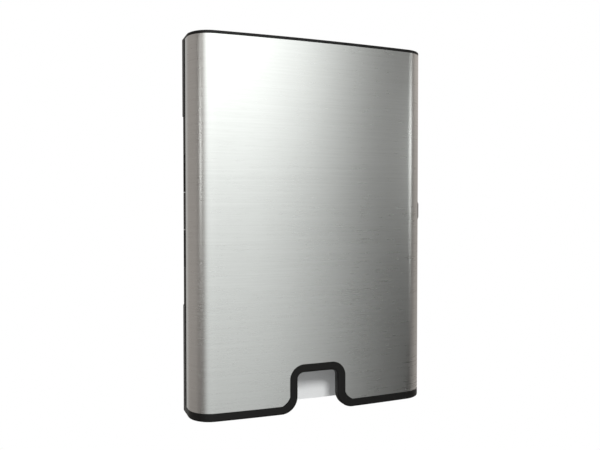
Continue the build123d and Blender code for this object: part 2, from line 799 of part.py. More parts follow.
def make_parts():
    """Every piece of the dispenser under its own name."""
    right_guide = make_right_guide()
    return {
        "wall_housing": make_wall_housing(),
        "towel_tray": make_towel_tray(),
        "right_stack_guide": right_guide,
        "left_stack_guide": mirror(right_guide, about=Plane.YZ),
        "towel_stack": make_towel_stack(),
        "hanging_towel": make_hanging_towel(),
        "hinge_leaf": make_hinge_leaf(),
        "hinge_pin": make_hinge_pin(),
        "keeper_plate": make_keeper_plate(),
        "keeper_pin": make_keeper_pin(),
        "tray_screws": screws(tray_seats, long_shank),
        "guide_screws": screws(guide_seats, short_shank),
        "hinge_screws": screws(hinge_seats, long_shank),
        "keeper_screws": screws(keeper_seats, short_shank),
        "door_frame": make_door_frame(),
        "steel_front": make_steel_front(),
        "top_cap": make_top_cap(),
        "bottom_trim": make_bottom_trim(),
        "cap_screws": screws(cap_seats, long_shank),
        "trim_screws": screws(trim_seats, long_shank),
        "lock_escutcheon": make_lock_escutcheon(),
        "lock_nut": make_lock_nut(),
        "lock_plug": make_lock_plug(),
        "lock_hook": make_lock_hook(),
        "lock_screw": screws(lock_seats, lock_shank),
    }


os.makedirs("parts", exist_ok=True)
for name, shape in make_parts().items():
    export_step(shape, f"parts/{name}.step")
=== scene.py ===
"""A slim wall dispenser for folded paper hand towels, dressed for rendering.

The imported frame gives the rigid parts. The steel skin of the door, the folded towels and the towel that
hangs out of the slot are modelled here, and every part gets its finish. All lengths are in metres, with +X
to the right, +Y into the wall and +Z up, and the origin on the wall in the middle of the fixing holes.
"""

import logging
import math
import random
from contextlib import contextmanager
from dataclasses import dataclass
from enum import Enum
from typing import Callable, Iterator

import bmesh
import bpy
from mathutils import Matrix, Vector


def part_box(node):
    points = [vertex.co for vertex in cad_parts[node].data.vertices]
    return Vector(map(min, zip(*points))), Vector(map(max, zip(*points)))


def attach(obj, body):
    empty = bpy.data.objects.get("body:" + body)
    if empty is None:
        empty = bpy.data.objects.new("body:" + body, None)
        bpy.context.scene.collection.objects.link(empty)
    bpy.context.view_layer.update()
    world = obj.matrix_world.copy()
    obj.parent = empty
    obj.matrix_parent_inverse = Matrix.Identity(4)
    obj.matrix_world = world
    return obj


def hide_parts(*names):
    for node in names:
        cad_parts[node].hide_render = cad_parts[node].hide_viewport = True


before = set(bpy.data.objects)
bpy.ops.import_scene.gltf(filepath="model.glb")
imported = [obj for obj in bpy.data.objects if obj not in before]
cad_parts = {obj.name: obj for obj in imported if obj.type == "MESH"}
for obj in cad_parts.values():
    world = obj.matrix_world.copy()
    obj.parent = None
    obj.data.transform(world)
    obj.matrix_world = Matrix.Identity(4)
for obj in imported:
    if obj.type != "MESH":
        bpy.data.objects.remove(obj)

log = logging.getLogger("towel_dispenser")

Colour = tuple[float, float, float]
Span = tuple[float, float]
Levels = tuple[Span, ...]
Test = Callable[[Vector], bool]
MM = 0.001
UNIT: Span = (0.0, 1.0)


class Element(Enum):
    """What a selection is made of."""

    POINT = "verts"
    EDGE = "edges"
    FACE = "faces"


class Body(Enum):
    """The bodies that the modelled pieces ride on."""

    HOUSING = "housing"
    DOOR = "door"


# Modelling with the operators


def pick_only(piece: bpy.types.Object) -> None:
    """Select one piece and make it active, with nothing else selected.

    Args:
        piece: The piece that the next operators act on.
    """
    bpy.ops.object.select_all(action="DESELECT")
    piece.select_set(True)
    bpy.context.view_layer.objects.active = piece


@contextmanager
def editing(piece: bpy.types.Object) -> Iterator[None]:
    """Keep one piece in edit mode for the length of a with block.

    Args:
        piece: The piece to edit.
    """
    pick_only(piece)
    bpy.ops.object.mode_set(mode="EDIT")
    try:
        yield
    finally:
        bpy.ops.object.mode_set(mode="OBJECT")


def centre_of(element: object) -> Vector:
    """The middle of a mesh's point, edge or face.

    Args:
        element: A point, an edge or a face of a mesh in edit mode.

    Returns:
        Its middle, in the row frame.
    """
    if isinstance(element, bmesh.types.BMVert):
        return element.co.copy()
    points = [point.co for point in element.verts]
    return sum(points, Vector()) / len(points)


def select(kind: Element, test: Test) -> None:
    """Select the points, edges or faces of the edited piece whose middle passes a test.

    Args:
        kind: What to select.
        test: Says of a middle whether its element is selected.
    """
    piece = bpy.context.edit_object
    bpy.ops.mesh.select_all(action="DESELECT")
    mesh = bmesh.from_edit_mesh(piece.data)
    chosen = [element for element in getattr(mesh, kind.value) if test(centre_of(element))]
    for element in chosen:
        element.select_set(True)
    mesh.select_flush(True)
    bmesh.update_edit_mesh(piece.data)


def near(value: float, target: float, slack: float = 0.02 * MM) -> bool:
    """Whether two lengths agree, within a slack."""
    return abs(value - target) < slack


def at_rim(value: float, low: float, high: float) -> bool:
    """Whether a length agrees with either end of a range."""
    return near(value, low) or near(value, high)


def name_piece(name: str) -> bpy.types.Object:
    """Name the primitive that was just added, and put its place and size into its mesh.

    Args:
        name: The piece's name.

    Returns:
        The piece, with its object at the origin.
    """
    piece = bpy.context.active_object
    piece.name = name
    piece.data.name = name
    bpy.ops.object.transform_apply(location=True, rotation=True, scale=True)
    return piece


def start_block(name: str, low: Vector, high: Vector) -> bpy.types.Object:
    """Add a cube primitive that fills the space between two corners.

    Args:
        name: The piece's name.
        low: The lowest corner.
        high: The highest corner.

    Returns:
        The new piece.
    """
    bpy.ops.object.select_all(action="DESELECT")
    bpy.ops.mesh.primitive_cube_add(size=1, location=(low + high) / 2, scale=high - low)
    return name_piece(name)


def apply_modifier(piece: bpy.types.Object, kind: str, **settings: object) -> None:
    """Add one modifier to a piece and apply it.

    Args:
        piece: The piece.
        kind: The modifier's type.
        settings: Its settings by name.
    """
    modifier = piece.modifiers.new(kind.lower(), kind)
    for setting, value in settings.items():
        setattr(modifier, setting, value)
    pick_only(piece)
    bpy.ops.object.modifier_apply(modifier=modifier.name)


def smooth(piece: bpy.types.Object, angle: float) -> None:
    """Shade a piece smooth across edges flatter than an angle, with flat faces kept flat.

    Args:
        piece: The piece.
        angle: The sharpest edge that is smoothed, in degrees.
    """
    pick_only(piece)
    bpy.ops.object.shade_smooth_by_angle(angle=math.radians(angle))
    apply_modifier(piece, "WEIGHTED_NORMAL", mode="FACE_AREA", weight=100, keep_sharp=True)


def join_pieces(pieces: list[bpy.types.Object], name: str) -> bpy.types.Object:
    """Join several pieces into one.

    Args:
        pieces: The pieces, the first of which takes the others in.
        name: The name of the joined piece.

    Returns:
        The joined piece.
    """
    pick_only(pieces[0])
    for piece in pieces[1:]:
        piece.select_set(True)
    bpy.ops.object.join()
    pieces[0].name = name
    return pieces[0]


# Shader trees


class Tree:
    """A shader node tree, with short ways to add nodes and join them."""

    def __init__(self, tree: bpy.types.NodeTree) -> None:
        """Wrap the node tree of a material, a world or a group, and clear it."""
        self.tree = tree
        tree.nodes.clear()

    def add(self, kind: str, **settings: object) -> bpy.types.Node:
        """Add a node.

        Args:
            kind: The node's type, without its ShaderNode prefix where it has one.
            settings: Properties of the node, and sockets where the name is one of its inputs in lower case.

        Returns:
            The new node.
        """
        full = kind if kind.startswith("NodeGroup") else "ShaderNode" + kind
        node = self.tree.nodes.new(full)
        sockets = {socket.name.lower().replace(" ", "_"): socket for socket in reversed(list(node.inputs))}
        for key, value in settings.items():
            if key in sockets:
                self.feed(sockets[key], value)
            else:
                setattr(node, key, value)
        return node

    def feed(self, socket: bpy.types.NodeSocket, value: object) -> None:
        """Give a socket a link or a plain value.

        Args:
            socket: An input socket.
            value: An output socket to link, or a number, colour or vector.
        """
        if isinstance(value, bpy.types.NodeSocket):
            self.tree.links.new(value, socket)
        elif socket.type == "RGBA":
            socket.default_value = (*value, 1.0)
        else:
            socket.default_value = value

    def math(self, operation: str, first: object, second: object = 0.0) -> bpy.types.NodeSocket:
        """Add a Math node.

        Args:
            operation: The operation's name.
            first: Its first value or link.
            second: Its second value or link.

        Returns:
            The node's output.
        """
        node = self.add("Math", operation=operation)
        self.feed(node.inputs[0], first)
        self.feed(node.inputs[1], second)
        return node.outputs[0]

    def spread(self, value: bpy.types.NodeSocket, start: Span, end: Span = UNIT) -> bpy.types.NodeSocket:
        """Map a value from one range to another, and clamp it there.

        Args:
            value: The value.
            start: The range that it comes from.
            end: The range that it goes to.

        Returns:
            The mapped value.
        """
        node = self.add("MapRange", value=value, from_min=start[0], from_max=start[1])
        node.inputs["To Min"].default_value = end[0]
        node.inputs["To Max"].default_value = end[1]
        return node.outputs[0]

    def ease(self, value: bpy.types.NodeSocket, start: Span, end: Span = UNIT) -> bpy.types.NodeSocket:
        """Map a value as spread does, but with a soft start and end.

        Args:
            value: The value.
            start: The range that it comes from.
            end: The range that it goes to.

        Returns:
            The mapped value.
        """
        mapped = self.spread(value, start, end)
        mapped.node.interpolation_type = "SMOOTHSTEP"
        return mapped

    def blend(self, mask: bpy.types.NodeSocket, first: object, second: object) -> bpy.types.NodeSocket:
        """Mix two colours by a mask.

        Args:
            mask: The share of the second colour.
            first: The colour where the mask is 0.
            second: The colour where the mask is 1.

        Returns:
            The mixed colour.
        """
        node = self.add("Mix", data_type="RGBA")
        self.feed(node.inputs[0], mask)
        self.feed(node.inputs[6], first)
        self.feed(node.inputs[7], second)
        return node.outputs[2]

    def scaled(self, colour: object, share: object) -> bpy.types.NodeSocket:
        """Scale a colour by a value.

        Args:
            colour: The colour.
            share: What it is scaled by.

        Returns:
            The scaled colour.
        """
        node = self.add("VectorMath", operation="SCALE", scale=share)
        self.feed(node.inputs[0], colour)
        return node.outputs[0]

    def mix_shaders(self, share: object, first: object, second: object) -> bpy.types.NodeSocket:
        """Mix two shaders.

        Args:
            share: The share of the second one.
            first: The shader where the share is 0.
            second: The shader where the share is 1.

        Returns:
            The mixed shader.
        """
        node = self.add("MixShader", fac=share)
        self.feed(node.inputs[1], first)
        self.feed(node.inputs[2], second)
        return node.outputs[0]

    def place(self, stretch: tuple[float, float, float] = (1.0, 1.0, 1.0)) -> bpy.types.NodeSocket:
        """The piece's own coordinates, stretched.

        Args:
            stretch: The scale along each axis.

        Returns:
            The stretched coordinates.
        """
        coordinates = self.add("TexCoord")
        mapping = self.add("Mapping", vector=coordinates.outputs["Object"])
        mapping.inputs["Scale"].default_value = stretch
        return mapping.outputs[0]

    def noise(
        self, where: bpy.types.NodeSocket, scale: object, detail: float = 2.0, roughness: float = 0.5
    ) -> bpy.types.NodeSocket:
        """Add a noise texture with a scale per metre, and return its value, around 0.5."""
        node = self.add("TexNoise", vector=where, scale=scale, detail=detail, roughness=roughness)
        return node.outputs[0]


class Group:
    """A shader node group with named inputs and outputs, built once and used by several finishes."""

    def __init__(self, name: str, inputs: dict[str, float], outputs: tuple[str, ...]) -> None:
        """Make an empty group.

        Args:
            name: The group's name.
            inputs: Its inputs with their usual values.
            outputs: Its outputs.
        """
        self.group = bpy.data.node_groups.new(name, "ShaderNodeTree")
        for label, value in inputs.items():
            socket = self.group.interface.new_socket(label, in_out="INPUT", socket_type="NodeSocketFloat")
            socket.default_value = value
        for label in outputs:
            self.group.interface.new_socket(label, in_out="OUTPUT", socket_type="NodeSocketFloat")
        self.tree = Tree(self.group)
        self.given = self.tree.add("NodeGroupInput").outputs
        self.wanted = self.tree.add("NodeGroupOutput").inputs

    def put(self, label: str, value: bpy.types.NodeSocket) -> None:
        """Send a value to one of the group's outputs."""
        self.tree.feed(self.wanted[label], value)

    def use(self, tree: Tree, **values: float) -> bpy.types.NodeOutputs:
        """Place the group in a material.

        Args:
            tree: The material's tree.
            values: The group's inputs, in lower case.

        Returns:
            The group node's outputs.
        """
        node = tree.add("Group", node_tree=self.group)
        for socket in node.inputs:
            key = socket.name.lower().replace(" ", "_")
            if key in values:
                socket.default_value = values[key]
        return node.outputs


class Effects:
    """The effects that several finishes share, each one a node group."""

    def __init__(self) -> None:
        """Build all the groups."""
        self.streaks = self.make_streaks()
        self.grain = self.make_grain()
        self.wear = self.make_wear()
        self.handling = self.make_handling()
        self.tissue = self.make_tissue()

    @staticmethod
    def make_streaks() -> Group:
        """Fine level lines that a belt leaves on sheet steel.

        Returns:
            A group with the lines' tone, their height and a slow cloudiness.
        """
        group = Group("belt_streaks", {"Density": 1900.0, "Length": 16.0}, ("Tone", "Height", "Cloud"))
        tree = group.tree
        flat = tree.math("DIVIDE", group.given["Length"], group.given["Density"])
        scale = tree.add("CombineXYZ", x=flat, y=flat, z=1.0)
        coordinates = tree.add("TexCoord").outputs["Object"]
        stretched = tree.add("VectorMath", operation="MULTIPLY")
        tree.feed(stretched.inputs[0], coordinates)
        tree.feed(stretched.inputs[1], scale.outputs[0])
        lines = stretched.outputs[0]
        fine = tree.noise(lines, group.given["Density"], 3.0, 0.65)
        broad = tree.noise(lines, tree.math("MULTIPLY", group.given["Density"], 0.31), 2.0, 0.6)
        short = tree.place((0.075, 0.075, 1.0))
        dashes = tree.noise(short, tree.math("MULTIPLY", group.given["Density"], 0.4), 2.0, 0.6)
        dashes = tree.spread(dashes, (0.56, 0.74))
        tone = tree.math("ADD", tree.math("MULTIPLY", fine, 0.6), tree.math("MULTIPLY", broad, 0.4))
        tone = tree.math("SUBTRACT", tone, tree.math("MULTIPLY", dashes, 0.2))
        group.put("Tone", tone)
        group.put("Height", tree.math("ADD", fine, broad))
        group.put("Cloud", tree.noise(tree.place((9.0, 9.0, 4.0)), 1.0, 2.0, 0.55))
        return group

    @staticmethod
    def make_grain() -> Group:
        """The fine pebbled skin that a spark-eroded mould leaves on plastic.

        Returns:
            A group with the skin's height and a slow change of tone.
        """
        group = Group("mould_grain", {"Scale": 1400.0}, ("Height", "Tone"))
        tree = group.tree
        where = tree.add("TexCoord").outputs["Object"]
        pebbles = tree.add("TexVoronoi", vector=where, scale=group.given["Scale"], feature="SMOOTH_F1")
        soft = tree.noise(where, group.given["Scale"], 2.0, 0.6)
        group.put("Height", tree.math("ADD", pebbles.outputs["Distance"], soft))
        group.put("Tone", tree.noise(where, tree.math("MULTIPLY", group.given["Scale"], 0.02), 3.0, 0.6))
        return group

    @staticmethod
    def make_wear() -> Group:
        """Rubbing along the edges.

        Returns:
            A group with a mask that is 1 on rubbed edges.
        """
        group = Group("edge_wear", {"Reach": 0.0006, "Breakup": 420.0}, ("Mask",))
        tree = group.tree
        rounded = tree.add("Bevel", samples=6, radius=group.given["Reach"])
        geometry = tree.add("NewGeometry")
        across = tree.add("VectorMath", operation="DOT_PRODUCT")
        tree.feed(across.inputs[0], rounded.outputs[0])
        tree.feed(across.inputs[1], geometry.outputs["Normal"])
        edge = tree.spread(across.outputs["Value"], (0.985, 0.86))
        where = tree.add("TexCoord").outputs["Object"]
        rubs = tree.noise(where, group.given["Breakup"], 4.0, 0.65)
        patches = tree.spread(rubs, (0.42, 0.62), (0.15, 1.0))
        group.put("Mask", tree.math("MULTIPLY", edge, patches))
        return group

    @staticmethod
    def make_handling() -> Group:
        """Faint smears and dust from hands and cleaning cloths.

        Returns:
            A group with a mask of smears and a mask of dust that settles on what faces up.
        """
        group = Group("handling", {"Size": 26.0}, ("Smears", "Dust"))
        tree = group.tree
        where = tree.place((1.0, 1.0, 0.45))
        wide = tree.noise(where, group.given["Size"], 5.0, 0.62)
        group.put("Smears", tree.spread(wide, (0.35, 0.7)))
        level = tree.add("SeparateXYZ", vector=tree.add("NewGeometry").outputs["Normal"])
        facing_up = tree.spread(level.outputs[2], (0.35, 0.95))
        specks = tree.spread(tree.noise(tree.place(), 900.0, 4.0, 0.7), (0.45, 0.7), (0.25, 1.0))
        group.put("Dust", tree.math("MULTIPLY", facing_up, specks))
        return group

    @staticmethod
    def make_tissue() -> Group:
        """The fibres and pressed dots of paper towel.

        Returns:
            A group with the paper's height and a mask of stray fibres.
        """
        group = Group("tissue", {"Dots": 420.0, "Fibre": 2600.0}, ("Height", "Fibres"))
        tree = group.tree
        where = tree.add("TexCoord").outputs["Object"]
        dots = tree.add("TexVoronoi", vector=where, scale=group.given["Dots"], randomness=0.12)
        pressed = tree.spread(dots.outputs["Distance"], (0.16, 0.34))
        fibre = tree.noise(where, group.given["Fibre"], 4.0, 0.7)
        group.put("Height", tree.math("ADD", tree.math("MULTIPLY", pressed, 0.6), fibre))
        stray = tree.noise(tree.place((1.0, 1.0, 0.35)), group.given["Fibre"], 3.0, 0.75)
        group.put("Fibres", tree.spread(stray, (0.5, 0.75)))
        return group


# Finishes


def new_material(name: str) -> tuple[bpy.types.Material, Tree, bpy.types.Node]:
    """Make a material that holds a Principled shader alone.

    Args:
        name: The material's name.

    Returns:
        The material, its tree and its shader node.
    """
    material = bpy.data.materials.new(name)
    material.use_nodes = True
    tree = Tree(material.node_tree)
    shader = tree.add("BsdfPrincipled")
    output = tree.add("OutputMaterial")
    tree.feed(output.inputs["Surface"], shader.outputs[0])
    return material, tree, shader


def add_bump(
    tree: Tree, shader: bpy.types.Node, height: bpy.types.NodeSocket, depth: float, strength: float
) -> None:
    """Raise a shader's surface by a height, where a height of 1 is as deep as the depth."""
    bump = tree.add("Bump", height=height, strength=strength, distance=depth)
    tree.feed(shader.inputs["Normal"], bump.outputs[0])


@dataclass(frozen=True)
class BrushedSteel:
    """Stainless sheet with a level brushed grain."""

    name: str = "brushed_stainless"
    pale: Colour = (0.665, 0.67, 0.663)
    deep: Colour = (0.595, 0.598, 0.59)
    gloss: Span = (0.27, 0.3)
    grain_pull: float = 0.42
    level_grain: float = 0.25
    density: float = 1900.0
    line_length: float = 16.0
    smear_size: float = 14.0
    groove_depth: float = 0.01 * MM
    groove_strength: float = 0.04

    def make(self, effects: Effects) -> bpy.types.Material:
        """Build the material.

        Args:
            effects: The shared effects.

        Returns:
            The material.
        """
        material, tree, shader = new_material(self.name)
        streaks = effects.streaks.use(tree, density=self.density, length=self.line_length)
        smears = effects.handling.use(tree, size=self.smear_size)["Smears"]
        tone = tree.spread(streaks["Tone"], (0.36, 0.62))
        cloudy = tree.math("MULTIPLY_ADD", streaks["Cloud"], 0.5)
        tree.feed(cloudy.node.inputs[2], tree.math("MULTIPLY", tone, 0.7))
        tree.feed(shader.inputs["Base Color"], tree.blend(cloudy, self.deep, self.pale))
        rough = tree.math("MULTIPLY", streaks["Tone"], 0.8)
        rough = tree.math("ADD", rough, tree.math("MULTIPLY", smears, 0.2))
        tree.feed(shader.inputs["Roughness"], tree.spread(rough, (0.3, 0.7), self.gloss))
        shader.inputs["Metallic"].default_value = 1.0
        shader.inputs["Anisotropic"].default_value = self.grain_pull
        shader.inputs["Anisotropic Rotation"].default_value = self.level_grain
        tangent = tree.add("Tangent", direction_type="RADIAL", axis="Z")
        tree.feed(shader.inputs["Tangent"], tangent.outputs[0])
        add_bump(tree, shader, streaks["Height"], self.groove_depth, self.groove_strength)
        return material


@dataclass(frozen=True)
class MouldedPlastic:
    """Injection-moulded plastic with a fine skin."""

    name: str
    colour: Colour
    worn: Colour
    gloss: Span
    grain: float
    depth: float
    shine: float = 0.5
    dust: float = 0.1
    dust_colour: Colour = (0.36, 0.34, 0.31)

    def make(self, effects: Effects) -> bpy.types.Material:
        """Build the material.

        Args:
            effects: The shared effects.

        Returns:
            The material.
        """
        material, tree, shader = new_material(self.name)
        skin = effects.grain.use(tree, scale=self.grain)
        touched = effects.handling.use(tree, size=30.0)
        rubbed = effects.wear.use(tree, reach=0.0007, breakup=380.0)["Mask"]
        dark = tuple(0.8 * part for part in self.colour)
        plain = tree.blend(skin["Tone"], dark, self.colour)
        dusty = tree.blend(tree.math("MULTIPLY", touched["Dust"], self.dust), plain, self.dust_colour)
        colour = tree.blend(tree.math("MULTIPLY", rubbed, 0.5), dusty, self.worn)
        tree.feed(shader.inputs["Base Color"], colour)
        rough = tree.math("MULTIPLY", touched["Smears"], 0.6)
        rough = tree.math("ADD", rough, tree.math("MULTIPLY", rubbed, 0.4))
        tree.feed(shader.inputs["Roughness"], tree.spread(rough, UNIT, self.gloss))
        shader.inputs["Specular IOR Level"].default_value = self.shine
        add_bump(tree, shader, skin["Height"], self.depth, 0.6)
        return material


@dataclass(frozen=True)
class PlatedMetal:
    """Pressed or turned metal, plated, coated or plain."""

    name: str
    colour: Colour
    worn: Colour
    gloss: Span
    metallic: float = 1.0
    grain: float = 2200.0
    depth: float = 0.01 * MM

    def make(self, effects: Effects) -> bpy.types.Material:
        """Build the material.

        Args:
            effects: The shared effects.

        Returns:
            The material.
        """
        material, tree, shader = new_material(self.name)
        skin = effects.grain.use(tree, scale=self.grain)
        smears = effects.handling.use(tree, size=90.0)["Smears"]
        rubbed = effects.wear.use(tree, reach=0.0004, breakup=900.0)["Mask"]
        dull = tuple(0.72 * part for part in self.colour)
        plain = tree.blend(skin["Tone"], dull, self.colour)
        colour = tree.blend(tree.math("MULTIPLY", rubbed, 0.8), plain, self.worn)
        tree.feed(shader.inputs["Base Color"], colour)
        tree.feed(shader.inputs["Roughness"], tree.spread(smears, UNIT, self.gloss))
        shader.inputs["Metallic"].default_value = self.metallic
        add_bump(tree, shader, skin["Height"], self.depth, 0.5)
        return material


@dataclass(frozen=True)
class TowelPaper:
    """White two-ply paper."""

    name: str = "towel_paper"
    colour: Colour = (0.87, 0.885, 0.885)
    fleck: Colour = (0.77, 0.775, 0.77)
    gloss: Span = (0.86, 0.96)
    shine: float = 0.25
    dots: float = 430.0
    fibre: float = 2600.0
    depth: float = 0.18 * MM

    def make(self, effects: Effects) -> bpy.types.Material:
        """Build the material.

        Args:
            effects: The shared effects.

        Returns:
            The material.
        """
        material, tree, shader = new_material(self.name)
        paper = effects.tissue.use(tree, dots=self.dots, fibre=self.fibre)
        tree.feed(shader.inputs["Base Color"], tree.blend(paper["Fibres"], self.colour, self.fleck))
        tree.feed(shader.inputs["Roughness"], tree.spread(paper["Fibres"], UNIT, self.gloss))
        shader.inputs["Specular IOR Level"].default_value = self.shine
        add_bump(tree, shader, paper["Height"], self.depth, 0.7)
        return material


# Sub-assemblies


@dataclass
class SteelSkin:
    """The brushed sheet that wraps the front and sides of the door, with a notch for the hand."""

    rise: float = 5.6 * MM
    corner: float = 28.0 * MM
    gauge: float = 0.8 * MM
    notch_half: float = 36.0 * MM
    notch_top: float = -163.9 * MM
    head_radius: float = 18.0 * MM
    foot_radius: float = 10.0 * MM
    edge_round: float = 0.22 * MM
    bow_steps: int = 40
    corner_steps: int = 18
    round_steps: int = 14

    def build(self) -> bpy.types.Object:
        """Model the sheet by spinning an upright edge along the front and round the corner.

        Returns:
            The sheet.
        """
        low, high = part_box("steel_front")
        self.half_width, self.front, self.rear = high.x, low.y, high.y
        self.foot, self.top = low.z, high.z
        bow = (self.half_width**2 + self.rise**2) / (2 * self.rise)
        middle = self.front + bow
        corner_x = self.half_width - self.corner
        corner_y = middle - math.sqrt((bow - self.corner) ** 2 - corner_x**2)
        tilt = math.asin(corner_x / (bow - self.corner))
        bpy.ops.object.select_all(action="DESELECT")
        bpy.ops.mesh.primitive_plane_add(size=1, location=(0, self.front, (self.foot + self.top) / 2))
        sheet = bpy.context.active_object
        sheet.scale = (1, self.top - self.foot, 1)
        sheet.rotation_euler = (math.pi / 2, 0, 0)
        sheet = name_piece("steel_skin")
        with editing(sheet):
            select(Element.POINT, lambda at: at.x < 0)
            bpy.ops.mesh.delete(type="VERT")
            select(Element.POINT, lambda at: True)
            bpy.ops.transform.translate(value=(-0.5, 0, 0))
            self.spin_edge(self.bow_steps, tilt, (0, middle, 0))
            self.spin_edge(self.corner_steps, math.pi / 2 - tilt, (corner_x, corner_y, 0))
            side = self.rear - corner_y
            bpy.ops.mesh.extrude_region_move(TRANSFORM_OT_translate={"value": (0, side, 0)})
        apply_modifier(sheet, "MIRROR", use_axis=(True, False, False), merge_threshold=0.01 * MM)
        with editing(sheet):
            bpy.ops.mesh.select_all(action="SELECT")
            bpy.ops.mesh.remove_doubles(threshold=0.01 * MM)
            bpy.ops.mesh.normals_make_consistent(inside=False)
            self.face_outwards(sheet)
        apply_modifier(sheet, "SOLIDIFY", thickness=self.gauge, offset=-1.0, use_even_offset=True)
        cutter = self.notch_cutter()
        apply_modifier(sheet, "BOOLEAN", operation="DIFFERENCE", solver="EXACT", object=cutter)
        bpy.data.objects.remove(cutter)
        apply_modifier(
            sheet,
            "BEVEL",
            width=self.edge_round,
            segments=2,
            limit_method="ANGLE",
            angle_limit=math.radians(50),
            use_clamp_overlap=True,
        )
        smooth(sheet, 40)
        return sheet

    @staticmethod
    def spin_edge(steps: int, angle: float, centre: tuple[float, float, float]) -> None:
        """Spin the selected upright edge to the right about an upright line, by an angle in radians."""
        bpy.ops.mesh.spin(steps=steps, angle=angle, center=centre, axis=(0, 0, -1))

    @staticmethod
    def face_outwards(sheet: bpy.types.Object) -> None:
        """Turn the sheet's faces round where its front looks into the door.

        Args:
            sheet: The open sheet, in edit mode.
        """
        mesh = bmesh.from_edit_mesh(sheet.data)
        foremost = min(mesh.faces, key=lambda face: face.calc_center_median().y)
        if foremost.normal.y > 0:
            bpy.ops.mesh.select_all(action="SELECT")
            bpy.ops.mesh.flip_normals()

    def notch_cutter(self) -> bpy.types.Object:
        """Model the block that cuts the notch, with a round head and flared foot.

        Returns:
            The block, which is removed after the cut.
        """
        wide = self.notch_half + 3 * self.foot_radius
        near_y, far_y = self.front - 10 * MM, self.front + 30 * MM
        low = Vector((-wide, near_y, self.foot - 20 * MM))
        block = start_block("notch_cutter", low, Vector((wide, far_y, self.foot)))
        with editing(block):
            for side in (-1, 1):
                bpy.ops.mesh.select_all(action="SELECT")
                bpy.ops.mesh.bisect(plane_co=(side * self.notch_half, 0, 0), plane_no=(1, 0, 0))
            select(Element.FACE, lambda at: near(at.z, self.foot) and abs(at.x) < self.notch_half)
            rise = self.notch_top - self.foot
            bpy.ops.mesh.extrude_region_move(TRANSFORM_OT_translate={"value": (0, 0, rise)})
            self.round_edges(self.notch_top, self.head_radius)
            self.round_edges(self.foot, self.foot_radius)
            bpy.ops.mesh.select_all(action="SELECT")
            bpy.ops.mesh.normals_make_consistent(inside=False)
        return block

    def round_edges(self, level: float, radius: float) -> None:
        """Round the two edges of the cutter that run into the door at one height."""
        select(Element.EDGE, lambda at: near(at.z, level) and near(abs(at.x), self.notch_half))
        bpy.ops.mesh.bevel(offset=radius, segments=self.round_steps, affect="EDGES")


@dataclass
class TowelStack:
    """The folded towels on the tray, each one a flat loop of paper with a soft fold at front and rear."""

    pitch: float = 3.4 * MM
    gap: float = 0.2 * MM
    fold_segments: int = 4
    fold_share: float = 0.46
    slip: float = 0.5 * MM
    sag: float = 0.08 * MM
    sag_waves: float = 1.5
    sag_shift: float = 0.13
    seed: int = 7

    def build(self) -> bpy.types.Object:
        """Model one folded towel, copy it up the stack and set each copy a little askew.

        Returns:
            The stack.
        """
        low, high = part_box("towel_stack")
        count = round((high.z - low.z) / self.pitch)
        step = (high.z - low.z) / count
        thick = step - self.gap
        margin = Vector((self.slip, self.slip, 0))
        chance = random.Random(self.seed)
        first = self.folded_towel(low + margin, Vector((high.x, high.y, low.z + thick)) - margin)
        copies = [first]
        for layer in range(1, count):
            towel = first.copy()
            towel.data = first.data.copy()
            bpy.context.scene.collection.objects.link(towel)
            aside = chance.uniform(-self.slip, self.slip)
            back = chance.uniform(-self.slip, self.slip)
            for point in towel.data.vertices:
                waves = self.sag_waves * point.co.x / (high.x - low.x) + self.sag_shift * layer
                lift = self.sag * math.sin(2 * math.pi * waves)
                point.co += Vector((aside, back, layer * step)) + Vector((0, 0, lift))
            copies.append(towel)
        stack = join_pieces(copies, "folded_towels")
        smooth(stack, 50)
        return stack

    def folded_towel(self, low: Vector, high: Vector) -> bpy.types.Object:
        """Model one folded towel.

        Args:
            low: Its lowest corner.
            high: Its highest corner.

        Returns:
            The towel.
        """
        towel = start_block("folded_towel", low, high)
        with editing(towel):
            for share in (0.25, 0.5, 0.75):
                bpy.ops.mesh.select_all(action="SELECT")
                at = low.x + share * (high.x - low.x)
                bpy.ops.mesh.bisect(plane_co=(at, 0, 0), plane_no=(1, 0, 0))
            select(Element.EDGE, lambda at: at_rim(at.z, low.z, high.z) and at_rim(at.y, low.y, high.y))
            fold = self.fold_share * (high.z - low.z)
            bpy.ops.mesh.bevel(offset=fold, segments=self.fold_segments, affect="EDGES")
        return towel


